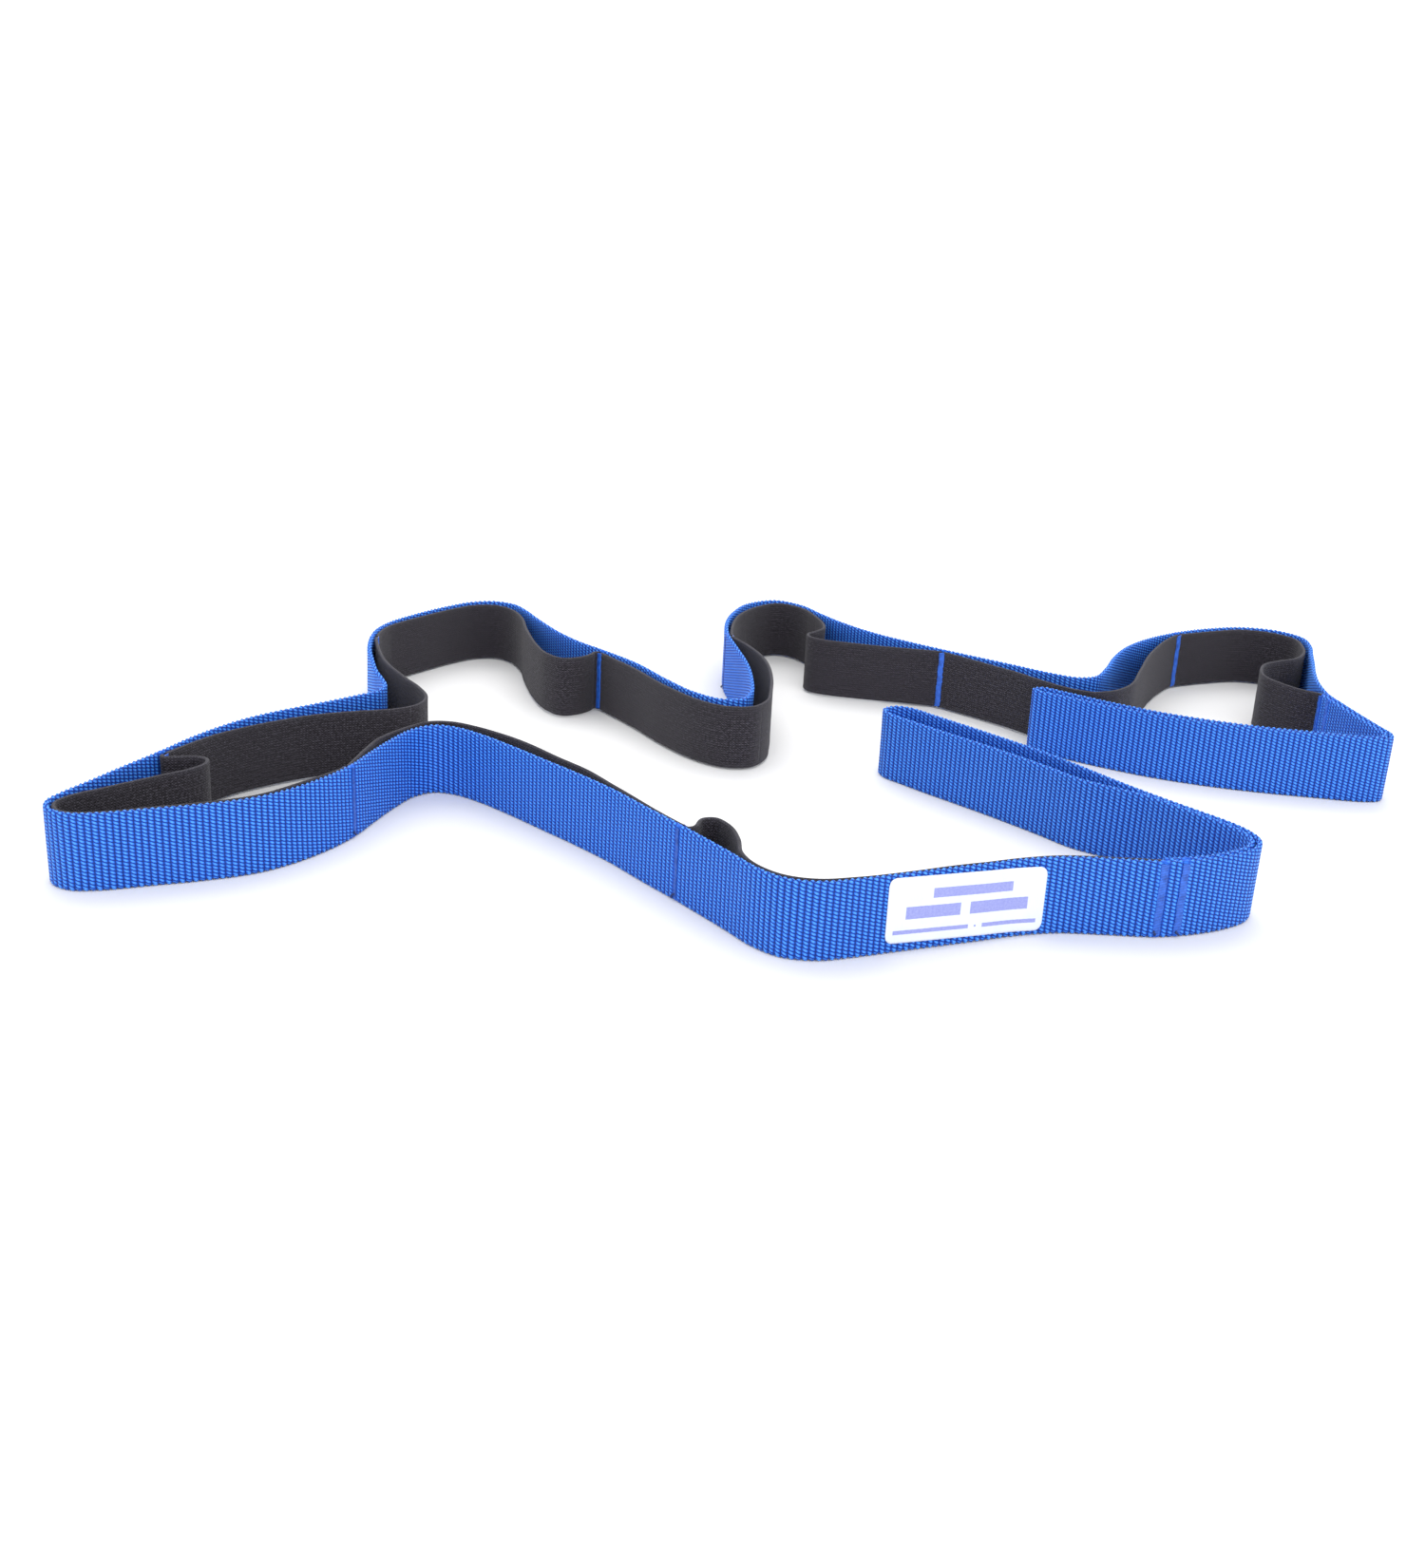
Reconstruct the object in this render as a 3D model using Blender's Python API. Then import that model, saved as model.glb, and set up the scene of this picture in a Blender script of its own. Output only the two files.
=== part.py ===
"""Stretching strap: woven webbing lying on its edge in a C, an elastic band sewn to its inner side.

The band is tacked to the webbing at intervals, which leaves nine elastic pockets, and both ends of
the webbing are folded back and sewn into flat handle loops. Everything stands on z = 0, and the
strap's width is vertical. Metres; +X to the right, +Y to the back, +Z up.
"""

import math

import bpy
from mathutils import Vector

WEB_WIDTH = 0.025
WEB_THICK = 0.0017
BAND_WIDTH = 0.0236
BAND_THICK = 0.0012
GAP = 0.0003  # between two layers that touch on the real strap
LOOP_GAP = 0.0004  # between the two layers of a handle
SEAM = 0.0013  # between the sections on each side of a row of stitches
THREAD = 0.0004  # thickness of a row of stitches
THREAD_GAP = 0.0004
TACK_HALF = 0.0009  # half the width of a row of stitches
TACK_WEB_HALF = 0.00025  # half the thickness of the thread that passes through the layers
SECOND_ROW = 0.0065  # from a handle's first row of stitches to its second
LABEL_THICK = 0.0004
LABEL_HEIGHT = 0.0205
LABEL_CORNER = 0.0025
ROOT_POCKET = 5  # the pocket that the others fold from
STEP = 0.0005  # spacing of the points along a smooth path
SAG = 0.00004  # how far a straight facet may lie from the smooth path
CENTRE = (0.003885, -0.001584)  # subtracted from every point below, so that the origin is the middle

# The middle of the webbing, seen from above. Each pocket runs from one row of stitches to the next.
POCKET_ROUTES = [
    [(0.109, -0.1283), (0.094, -0.1285), (0.080, -0.129), (0.067, -0.1325), (0.054, -0.138),
     (0.042, -0.143), (0.030, -0.148), (0.018, -0.153), (0.007, -0.1565), (-0.003, -0.1555),
     (-0.011, -0.1495), (-0.019, -0.139), (-0.026, -0.130)],
    [(-0.034, -0.120), (-0.045, -0.107), (-0.056, -0.0935), (-0.068, -0.081), (-0.080, -0.0695),
     (-0.092, -0.058), (-0.104, -0.0475), (-0.1135, -0.0415), (-0.121, -0.0405),
     (-0.127, -0.0455), (-0.132, -0.057), (-0.136, -0.070)],
    [(-0.140, -0.084), (-0.146, -0.0965), (-0.154, -0.108), (-0.163, -0.1165), (-0.176, -0.1235),
     (-0.191, -0.1295), (-0.204, -0.1345), (-0.2125, -0.1355), (-0.2185, -0.132),
     (-0.2205, -0.126), (-0.2185, -0.119), (-0.214, -0.1085), (-0.2085, -0.095)],
    [(-0.202, -0.080), (-0.197, -0.067), (-0.191, -0.0545), (-0.184, -0.0435), (-0.176, -0.0345),
     (-0.168, -0.027), (-0.160, -0.0195), (-0.152, -0.0115), (-0.1465, -0.0055),
     (-0.1455, 0.001), (-0.1485, 0.010), (-0.152, 0.018), (-0.157, 0.034), (-0.161, 0.049)],
    [(-0.163, 0.065), (-0.1625, 0.076), (-0.159, 0.0875), (-0.151, 0.101), (-0.141, 0.1145),
     (-0.132, 0.1235), (-0.123, 0.1265), (-0.1145, 0.1235), (-0.1085, 0.1155), (-0.103, 0.105),
     (-0.097, 0.094), (-0.090, 0.0825), (-0.0815, 0.0715)],
    [(-0.0705, 0.0605), (-0.057, 0.0455), (-0.045, 0.027), (-0.034, 0.0125), (-0.0235, 0.0055),
     (-0.0155, 0.0075), (-0.0125, 0.016), (-0.0125, 0.036), (-0.0145, 0.055), (-0.018, 0.073)],
    [(-0.022, 0.094), (-0.0225, 0.112), (-0.0195, 0.130), (-0.0125, 0.1465), (-0.0015, 0.1535),
     (0.0095, 0.1475), (0.0175, 0.135), (0.026, 0.1225), (0.039, 0.108), (0.052, 0.0975)],
    [(0.067, 0.087), (0.090, 0.072), (0.107, 0.061), (0.116, 0.0575), (0.124, 0.0605),
     (0.1305, 0.073), (0.137, 0.090), (0.1455, 0.1065), (0.157, 0.121)],
    [(0.172, 0.134), (0.188, 0.1435), (0.205, 0.149), (0.219, 0.1465), (0.2275, 0.137),
     (0.2275, 0.124), (0.2245, 0.112), (0.221, 0.098), (0.217, 0.083), (0.214, 0.068)],
]
LAST_TACK = (0.213, 0.0525)

# The middle of the band where it stands away from the webbing, one list for each pocket.
BAND_ROUTES = [
    [(0.080, -0.127), (0.054, -0.136), (0.018, -0.151), (0.006, -0.154), (-0.004, -0.152),
     (-0.0115, -0.1455), (-0.0155, -0.137), (-0.0165, -0.126), (-0.019, -0.117), (-0.0235, -0.1115),
     (-0.0275, -0.1125), (-0.0292, -0.1177), (-0.0301, -0.1193)],
    [(-0.044, -0.1045), (-0.055, -0.0895), (-0.065, -0.076), (-0.0755, -0.065), (-0.086, -0.054),
     (-0.0965, -0.045), (-0.107, -0.038), (-0.116, -0.0345), (-0.1235, -0.0355),
     (-0.1305, -0.0435), (-0.1365, -0.055), (-0.139, -0.067)],
    [(-0.1485, -0.095), (-0.164, -0.1135), (-0.191, -0.1265), (-0.207, -0.1325), (-0.2145, -0.131),
     (-0.2165, -0.126), (-0.2135, -0.120), (-0.208, -0.113), (-0.202, -0.106), (-0.195, -0.0995),
     (-0.189, -0.094), (-0.1855, -0.088), (-0.186, -0.083), (-0.190, -0.0812), (-0.195, -0.0822),
     (-0.1977, -0.083), (-0.1997, -0.0833)],
    [(-0.190, -0.0625), (-0.178, -0.0505), (-0.164, -0.0385), (-0.147, -0.029), (-0.137, -0.0235),
     (-0.1305, -0.017), (-0.129, -0.008), (-0.1335, 0.003), (-0.1405, 0.0135), (-0.1525, 0.0355)],
    [(-0.160, 0.080), (-0.148, 0.0995), (-0.138, 0.113), (-0.130, 0.1205), (-0.1215, 0.1225),
     (-0.114, 0.117), (-0.1085, 0.1055), (-0.1045, 0.0885), (-0.0985, 0.068), (-0.092, 0.054),
     (-0.0855, 0.0485), (-0.079, 0.0515), (-0.075, 0.0572), (-0.0744, 0.0594)],
    [(-0.057, 0.0395), (-0.044, 0.0195), (-0.032, 0.0055), (-0.0215, -0.001), (-0.012, 0.0),
     (-0.0065, 0.009), (-0.005, 0.0215), (-0.0045, 0.038), (-0.0055, 0.0535), (-0.0085, 0.068),
     (-0.014, 0.082)],
    [(-0.0195, 0.116), (-0.0165, 0.130), (-0.009, 0.1435), (-0.0005, 0.1505), (0.009, 0.1460),
     (0.015, 0.134), (0.0185, 0.122), (0.0185, 0.1135), (0.015, 0.1075), (0.0115, 0.103),
     (0.013, 0.098), (0.0185, 0.0945), (0.031, 0.0915), (0.048, 0.089)],
    [(0.089, 0.066), (0.101, 0.053), (0.110, 0.0445), (0.1185, 0.0405), (0.127, 0.0435),
     (0.1365, 0.054), (0.1445, 0.0745), (0.154, 0.100), (0.164, 0.120)],
    [(0.189, 0.141), (0.205, 0.1465), (0.217, 0.144), (0.2245, 0.1355), (0.2245, 0.124),
     (0.2215, 0.113), (0.2155, 0.104), (0.207, 0.099), (0.2, 0.0935), (0.196, 0.085),
     (0.195, 0.0755), (0.199, 0.0665), (0.2045, 0.059)],
]

# From the stitches round the fold to the tip on the outer layer, then back towards the fold.
HANDLE_A_OUT = [(0.117, -0.1265), (0.126, -0.1232), (0.1335, -0.119), (0.1395, -0.114),
                (0.1425, -0.107), (0.141, -0.1), (0.137, -0.0935), (0.129, -0.0845),
                (0.119, -0.0735), (0.109, -0.0615), (0.099, -0.0485), (0.088, -0.035),
                (0.071, -0.0175), (0.054, -0.001), (0.046, 0.0065)]
HANDLE_A_TIP = [(0.0405, 0.008), (0.0365, 0.0045), (0.0375, -0.001)]
HANDLE_A_BACK = [(0.043, -0.007), (0.051, -0.015), (0.060, -0.0235), (0.069, -0.032),
                 (0.078, -0.041), (0.087, -0.0505), (0.0965, -0.061)]
HANDLE_B_OUT = [(0.2145, 0.042), (0.217, 0.028), (0.220, 0.0135), (0.2215, 0.006),
                (0.2195, 0.001), (0.2135, -0.0005), (0.205, 0.0), (0.198, 0.001), (0.179, 0.0035),
                (0.159, 0.0075), (0.139, 0.014), (0.120, 0.0235), (0.106, 0.032)]
HANDLE_B_TIP = [(0.0985, 0.0365), (0.0965, 0.0395), (0.0995, 0.0415)]
HANDLE_B_BACK = [(0.1065, 0.0375), (0.120, 0.0285), (0.139, 0.018), (0.159, 0.0105)]
HANDLE_A_REJOIN = 0.086  # along the outer layer, where the other layer meets it again
HANDLE_B_REJOIN = 0.0965

LABEL_FROM, LABEL_TO = 0.035, 0.087  # distances along pocket 1
LABEL_LOW_FROM, LABEL_LOW_TO = 0.0017, 0.0035  # height of its lower edge at each end

COLOURS = {
    "webbing": (0.03, 0.13, 0.62),
    "elastic": (0.035, 0.033, 0.034),
    "thread": (0.06, 0.14, 0.70),
    "label": (0.88, 0.89, 0.93),
}


def clear_scene():
    for obj in list(bpy.data.objects):
        bpy.data.objects.remove(obj)


def material(name):
    found = bpy.data.materials.get(name)
    if found:
        return found
    made = bpy.data.materials.new(name)
    made.use_nodes = True
    shader = made.node_tree.nodes["Principled BSDF"]
    shader.inputs["Base Color"].default_value = (*COLOURS[name], 1)
    shader.inputs["Roughness"].default_value = 0.85
    made.diffuse_color = (*COLOURS[name], 1)
    return made


def placed(points):
    return [Vector((x - CENTRE[0], y - CENTRE[1])) for x, y in points]


def spline(points, before=None, after=None):
    """A centripetal Catmull-Rom curve through the points. before and after are the points that
    it would go on to, which set its direction at its ends."""
    before = before or 2 * points[0] - points[1]
    after = after or 2 * points[-1] - points[-2]
    ends = [before, *points, after]
    fine = []
    for a, b, c, d in zip(ends, ends[1:], ends[2:], ends[3:]):
        t1 = math.sqrt((b - a).length)
        t2 = t1 + math.sqrt((c - b).length)
        t3 = t2 + math.sqrt((d - c).length)
        count = max(4, int((c - b).length / STEP * 2))
        for i in range(count):
            t = t1 + (t2 - t1) * i / count
            ab = a * ((t1 - t) / t1) + b * (t / t1)
            bc = b * ((t2 - t) / (t2 - t1)) + c * ((t - t1) / (t2 - t1))
            cd = c * ((t3 - t) / (t3 - t2)) + d * ((t - t2) / (t3 - t2))
            abc = ab * ((t2 - t) / t2) + bc * (t / t2)
            bcd = bc * ((t3 - t) / (t3 - t1)) + cd * ((t - t1) / (t3 - t1))
            fine.append(abc * ((t2 - t) / (t2 - t1)) + bcd * ((t - t1) / (t2 - t1)))
    return Path(fine + [points[-1]])


class Path:
    """A smooth line seen from above. Its right side is the inner side of the strap."""

    def __init__(self, points):
        self.points = points
        self.at = [0.0]
        for a, b in zip(points, points[1:]):
            self.at.append(self.at[-1] + (b - a).length)
        self.length = self.at[-1]

    def place(self, s):
        """The point at distance s and the direction there."""
        s = min(max(s, 0.0), self.length)
        low, high = 0, len(self.at) - 1
        while high - low > 1:
            middle = (low + high) // 2
            if self.at[middle] <= s:
                low = middle
            else:
                high = middle
        a, b = self.points[low], self.points[high]
        share = (s - self.at[low]) / max(self.at[high] - self.at[low], 1e-9)
        before, after = self.points[max(low - 1, 0)], self.points[min(high + 1, len(self.at) - 1)]
        return a.lerp(b, share), (after - before).normalized()

    def beside(self, s, offset):
        """The point at distance s, moved to the right by offset."""
        point, along = self.place(s)
        return point + offset * Vector((along.y, -along.x))

    def part(self, start, end, offset=0.0):
        count = max(2, round((end - start) / STEP))
        return [self.beside(start + (end - start) * i / count, offset) for i in range(count + 1)]

    def nearest(self, point):
        best = min(range(len(self.points)), key=lambda i: (self.points[i] - point).length_squared)
        return self.at[best]

    def kept_off(self, points, least):
        """The points, with each that is closer than least to this path's right side moved out."""
        moved = []
        for point in points:
            s = self.nearest(point)
            on_path, along = self.place(s)
            right = Vector((along.y, -along.x))
            short = least - (point - on_path).dot(right)
            moved.append(point + right * short if (point - on_path).length < 3 * least and short > 0
                         else point)
        return moved


def thinned(points, sag=SAG):
    """Fewer points, none of those left out further than sag from the straight facets."""
    kept, start = [0], 0
    while start < len(points) - 1:
        end = start + 1
        while end < len(points) - 1:
            a, b = points[start], points[end + 1]
            across = Vector((b.y - a.y, a.x - b.x)).normalized()
            if max(abs((p - a).dot(across)) for p in points[start:end + 1]) > sag:
                break
            end += 1
        kept.append(end)
        start = end
    return kept


def add_mesh(name, vertices, faces, slot):
    mesh = bpy.data.meshes.new(name)
    mesh.from_pydata([tuple(v) for v in vertices], [], faces)
    mesh.validate()
    mesh.materials.append(material(slot))
    obj = bpy.data.objects.new(name, mesh)
    bpy.context.scene.collection.objects.link(obj)
    return obj


def set_origin(obj, point):
    """Moves the object's origin, leaving its surface where it is."""
    shift = Vector((point.x, point.y, 0))
    for vertex in obj.data.vertices:
        vertex.co -= shift
    obj.location = shift


def strip(name, rings, slot):
    """A closed strip through rings of four corners: left low, right low, right high, left high."""
    vertices = [corner for ring in rings for corner in ring]
    last = 4 * (len(rings) - 1)
    faces = [(0, 1, 2, 3), (last + 3, last + 2, last + 1, last)]
    for a in range(0, last, 4):
        faces += [(a + i, a + i + 4, a + (i + 1) % 4 + 4, a + (i + 1) % 4) for i in range(4)]
    return add_mesh(name, vertices, faces, slot)


def ring(line, s, thick, low, high):
    left, right = line.beside(s, -thick / 2), line.beside(s, thick / 2)
    return [(*left, low), (*right, low), (*right, high), (*left, high)]


def ribbon(name, points, thick, width, slot):
    """A strip of the webbing, the band or the thread on its edge along the points."""
    line, low = Path(points), (WEB_WIDTH - width) / 2
    rings = [ring(line, line.at[i], thick, low, low + width) for i in thinned(points)]
    return strip(name, rings, slot)


def prism(name, outline, low, high, slot):
    """An upright solid on an outline given anticlockwise from above."""
    count = len(outline)
    vertices = [(*p, low) for p in outline] + [(*p, high) for p in outline]
    faces = [tuple(reversed(range(count))), tuple(range(count, 2 * count))]
    faces += [(i, (i + 1) % count, count + (i + 1) % count, count + i) for i in range(count)]
    return add_mesh(name, vertices, faces, slot)


def signed_area(outline):
    return sum(a.x * b.y - b.x * a.y for a, b in zip(outline, outline[1:] + outline[:1])) / 2


def tack(name, path, s, inner_layer, pivot):
    """A row of stitches: a strip on each side of the layers, joined by the thread through them."""
    point, along = path.place(s)
    right = Vector((along.y, -along.x))
    outer = -WEB_THICK / 2 - THREAD_GAP
    inner = WEB_THICK / 2 + inner_layer + THREAD_GAP
    half, web = TACK_HALF, TACK_WEB_HALF
    profile = [(-half, outer - THREAD), (-half, outer), (-web, outer), (-web, inner),
               (-half, inner), (-half, inner + THREAD), (half, inner + THREAD), (half, inner),
               (web, inner), (web, outer), (half, outer), (half, outer - THREAD)]
    outline = [point + along * t + right * n for t, n in profile]
    if signed_area(outline) < 0:
        outline.reverse()
    low = (WEB_WIDTH - BAND_WIDTH) / 2
    set_origin(prism(name, outline, low, WEB_WIDTH - low, "thread"), pivot)


def label(path, pivot):
    """A thin sewn-on rectangle with round corners, set a little askew on the outer side."""
    length = LABEL_TO - LABEL_FROM
    ends = [LABEL_CORNER * (1 - math.cos(math.radians(a))) for a in (8, 25, 45, 65, 90)]
    middle = [length * i / 8 for i in range(1, 8)]
    stops = ends + middle + [length - end for end in reversed(ends)]
    offset = -(WEB_THICK / 2 + GAP + LABEL_THICK / 2)
    line = Path([path.beside(LABEL_FROM + stop, offset) for stop in stops])
    rings = []
    for s, stop in zip(line.at, stops):
        short = max(LABEL_CORNER - min(stop, length - stop), 0.0)
        rounding = LABEL_CORNER - math.sqrt(LABEL_CORNER**2 - short**2)
        low = LABEL_LOW_FROM + (LABEL_LOW_TO - LABEL_LOW_FROM) * stop / length
        rings.append(ring(line, s, LABEL_THICK, low + rounding, low + LABEL_HEIGHT - rounding))
    set_origin(strip("label", rings, "label"), pivot)


def handle(letter, out, tip, back, rejoin, first, before, side):
    """A handle loop and its second row of stitches. side is 1 where the strap's inner side lies
    to the right on the way out, else -1."""
    ahead = spline([first, *placed(out), *placed(tip)], before)
    inside = ahead.part(SEAM / 2, rejoin, (WEB_THICK + LOOP_GAP) * side)
    loop = spline([first, *placed(out), *placed(tip), *placed(back), *inside[::-3]], before)
    points = loop.part(SEAM / 2, loop.length)
    points = [p for p in points if (p - inside[0]).length > STEP] + [inside[0]]
    set_origin(ribbon(f"webbing_handle_{letter}", points, WEB_THICK, WEB_WIDTH, "webbing"), first)
    row = ahead.part(SECOND_ROW - TACK_HALF, SECOND_ROW + TACK_HALF,
                     -side * (WEB_THICK / 2 + GAP + THREAD / 2))
    set_origin(ribbon(f"second_row_{letter}", row, THREAD, BAND_WIDTH, "thread"), first)


def band_route(web, start, end, route):
    """The band's middle from one row of stitches to the next, nowhere closer to the webbing
    than where the two lie together."""
    beside = WEB_THICK / 2 + GAP + BAND_THICK / 2
    first = [web.beside(start + s, beside) for s in (SEAM / 2, 0.0013)]
    last = [web.beside(end - s, beside) for s in (0.0013, SEAM / 2)]
    return web.kept_off(spline([*first, *placed(route), *last]).points, beside)


def main():
    clear_scene()
    routes = [placed(route) for route in POCKET_ROUTES]
    web = spline([p for route in routes for p in route] + placed([LAST_TACK]),
                 placed(HANDLE_A_OUT)[0], placed(HANDLE_B_OUT)[0])
    tacks = [web.nearest(route[0]) for route in routes] + [web.length]
    pivots = [web.place(s)[0] for s in tacks[1:ROOT_POCKET] + tacks[ROOT_POCKET - 1:-1]]
    for i, (start, end) in enumerate(zip(tacks, tacks[1:])):
        section = web.part(start + SEAM / 2, end - SEAM / 2)
        band = band_route(web, start, end, BAND_ROUTES[i])
        for slot, line, thick, width in (("webbing", section, WEB_THICK, WEB_WIDTH),
                                         ("elastic", band, BAND_THICK, BAND_WIDTH)):
            set_origin(ribbon(f"{slot}_pocket_{i + 1}", line, thick, width, slot), pivots[i])
    for number, s in enumerate(tacks[1:-1], 1):
        on_pocket = number + 1 if number < ROOT_POCKET else number
        tack(f"tack_{number}", web, s, GAP + BAND_THICK, pivots[on_pocket - 1])
    tack("tack_handle_a", web, 0.0, LOOP_GAP + WEB_THICK, pivots[0])
    tack("tack_handle_b", web, web.length, LOOP_GAP + WEB_THICK, pivots[-1])
    handle("a", HANDLE_A_OUT, HANDLE_A_TIP, HANDLE_A_BACK, HANDLE_A_REJOIN, web.points[0],
           routes[0][1], -1)
    handle("b", HANDLE_B_OUT, HANDLE_B_TIP, HANDLE_B_BACK, HANDLE_B_REJOIN, web.points[-1],
           routes[-1][-1], 1)
    label(web, pivots[0])


main()
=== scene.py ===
"""Looks for the stretching strap: ribbed blue webbing with a handle loop at each end and a charcoal
elastic band stitched along its inner side. Distances are metres. The cloth stands on its edge, so
each strip is a line seen from above, given the cross-section of its own weave."""

import math

import bpy
import numpy as np
from mathutils import Matrix, Vector

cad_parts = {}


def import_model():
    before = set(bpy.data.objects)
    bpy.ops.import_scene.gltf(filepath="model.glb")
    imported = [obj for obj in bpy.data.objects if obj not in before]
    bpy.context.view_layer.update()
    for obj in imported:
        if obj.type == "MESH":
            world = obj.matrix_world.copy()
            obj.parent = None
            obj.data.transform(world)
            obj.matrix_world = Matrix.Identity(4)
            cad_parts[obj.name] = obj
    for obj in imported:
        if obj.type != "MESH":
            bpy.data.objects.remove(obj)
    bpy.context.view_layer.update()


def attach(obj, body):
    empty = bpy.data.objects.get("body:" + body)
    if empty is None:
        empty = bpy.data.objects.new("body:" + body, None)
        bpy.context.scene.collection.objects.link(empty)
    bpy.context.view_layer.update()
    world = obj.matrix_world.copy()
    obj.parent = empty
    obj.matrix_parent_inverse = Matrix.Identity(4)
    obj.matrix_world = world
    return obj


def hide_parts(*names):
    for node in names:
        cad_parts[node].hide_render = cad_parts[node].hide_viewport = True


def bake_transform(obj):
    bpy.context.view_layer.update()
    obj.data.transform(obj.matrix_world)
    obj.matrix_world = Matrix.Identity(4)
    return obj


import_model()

# ---------------------------------------------------------------- sizes

# These are the CAD's. Only the band of pocket 3 differs, by up to 2 mm: it hugs the webbing's bend.
CENTRE = np.array([0.003885, -0.001584])  # middle of the footprint, in the routes' own frame
WEB_WIDTH, WEB_THICK = 0.025, 0.0017
BAND_WIDTH, BAND_THICK = 0.0236, 0.0012
GAP = 0.0003  # between the webbing and the band
LOOP_GAP = 0.0004  # between the two layers of a handle, beside its stitches
SEAM = 0.0013  # between the CAD's sections, at a row of stitches
ROW_WIDTH = 0.0023  # of a row of stitches
SECOND_ROW = 0.0065  # from a handle's first row of stitches to its second
LABEL_FROM, LABEL_TO, LABEL_HEIGHT = 0.035, 0.087, 0.0205
LABEL_LOW_FROM, LABEL_LOW_TO = 0.0017, 0.0035  # the label's foot, at each end

# The rest are the visual model's own.
RIB = 0.00195  # from one rib of the webbing to the next
FLOAT = 0.00115  # height of one yarn float on a rib
RIB_RISE, RIB_RISE_AT_EDGE = 0.00026, 0.00058  # from the valley beside a rib to its top
SKIN = 0.0001  # how far the cloth's smooth surface lies inside the CAD's
PRESSED = 0.0013  # reach of the cloth that a row of stitches presses flat
PASS = 0.00047  # height of one pass of the thread
THREAD_OUT = 0.00008  # how far the middle of a row of stitches stands off the cloth
OUTER_ROW, INNER_ROW = 0.00032, 0.00042  # thickness of the stitches on each face
SHADE, HANDLE_SHADE = 0.35, 0.12  # how far the stitches on the outer face are darkened
BAND_4_LEAN = 0.005  # the foot of pocket 4's band leans this far towards the webbing

# Each route is seen from above, and runs from one row of stitches to the next.
POCKET_ROUTES = [
    [(0.109, -0.1283), (0.094, -0.1285), (0.080, -0.129), (0.067, -0.1325), (0.054, -0.138),
     (0.042, -0.143), (0.030, -0.148), (0.018, -0.153), (0.007, -0.1565), (-0.003, -0.1555),
     (-0.011, -0.1495), (-0.019, -0.139), (-0.026, -0.130)],
    [(-0.034, -0.120), (-0.045, -0.107), (-0.056, -0.0935), (-0.068, -0.081), (-0.080, -0.0695),
     (-0.092, -0.058), (-0.104, -0.0475), (-0.1135, -0.0415), (-0.121, -0.0405),
     (-0.127, -0.0455), (-0.132, -0.057), (-0.136, -0.070)],
    [(-0.140, -0.084), (-0.146, -0.0965), (-0.154, -0.108), (-0.163, -0.1165), (-0.176, -0.1235),
     (-0.191, -0.1295), (-0.204, -0.1345), (-0.2125, -0.1355), (-0.2185, -0.132),
     (-0.2205, -0.126), (-0.2185, -0.119), (-0.214, -0.1085), (-0.2085, -0.095)],
    [(-0.202, -0.080), (-0.197, -0.067), (-0.191, -0.0545), (-0.184, -0.0435), (-0.176, -0.0345),
     (-0.168, -0.027), (-0.160, -0.0195), (-0.152, -0.0115), (-0.1465, -0.0055),
     (-0.1455, 0.001), (-0.1485, 0.010), (-0.152, 0.018), (-0.157, 0.034), (-0.161, 0.049)],
    [(-0.163, 0.065), (-0.1625, 0.076), (-0.159, 0.0875), (-0.151, 0.101), (-0.141, 0.1145),
     (-0.132, 0.1235), (-0.123, 0.1265), (-0.1145, 0.1235), (-0.1085, 0.1155), (-0.103, 0.105),
     (-0.097, 0.094), (-0.090, 0.0825), (-0.0815, 0.0715)],
    [(-0.0705, 0.0605), (-0.057, 0.0455), (-0.045, 0.027), (-0.034, 0.0125), (-0.0235, 0.0055),
     (-0.0155, 0.0075), (-0.0125, 0.016), (-0.0125, 0.036), (-0.0145, 0.055), (-0.018, 0.073)],
    [(-0.022, 0.094), (-0.0225, 0.112), (-0.0195, 0.130), (-0.0125, 0.1465), (-0.0015, 0.1535),
     (0.0095, 0.1475), (0.0175, 0.135), (0.026, 0.1225), (0.039, 0.108), (0.052, 0.0975)],
    [(0.067, 0.087), (0.090, 0.072), (0.107, 0.061), (0.116, 0.0575), (0.124, 0.0605),
     (0.1305, 0.073), (0.137, 0.090), (0.1455, 0.1065), (0.157, 0.121)],
    [(0.172, 0.134), (0.188, 0.1435), (0.205, 0.149), (0.219, 0.1465), (0.2275, 0.137),
     (0.2275, 0.124), (0.2245, 0.112), (0.221, 0.098), (0.217, 0.083), (0.214, 0.068)],
]
LAST_TACK = (0.213, 0.0525)
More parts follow.
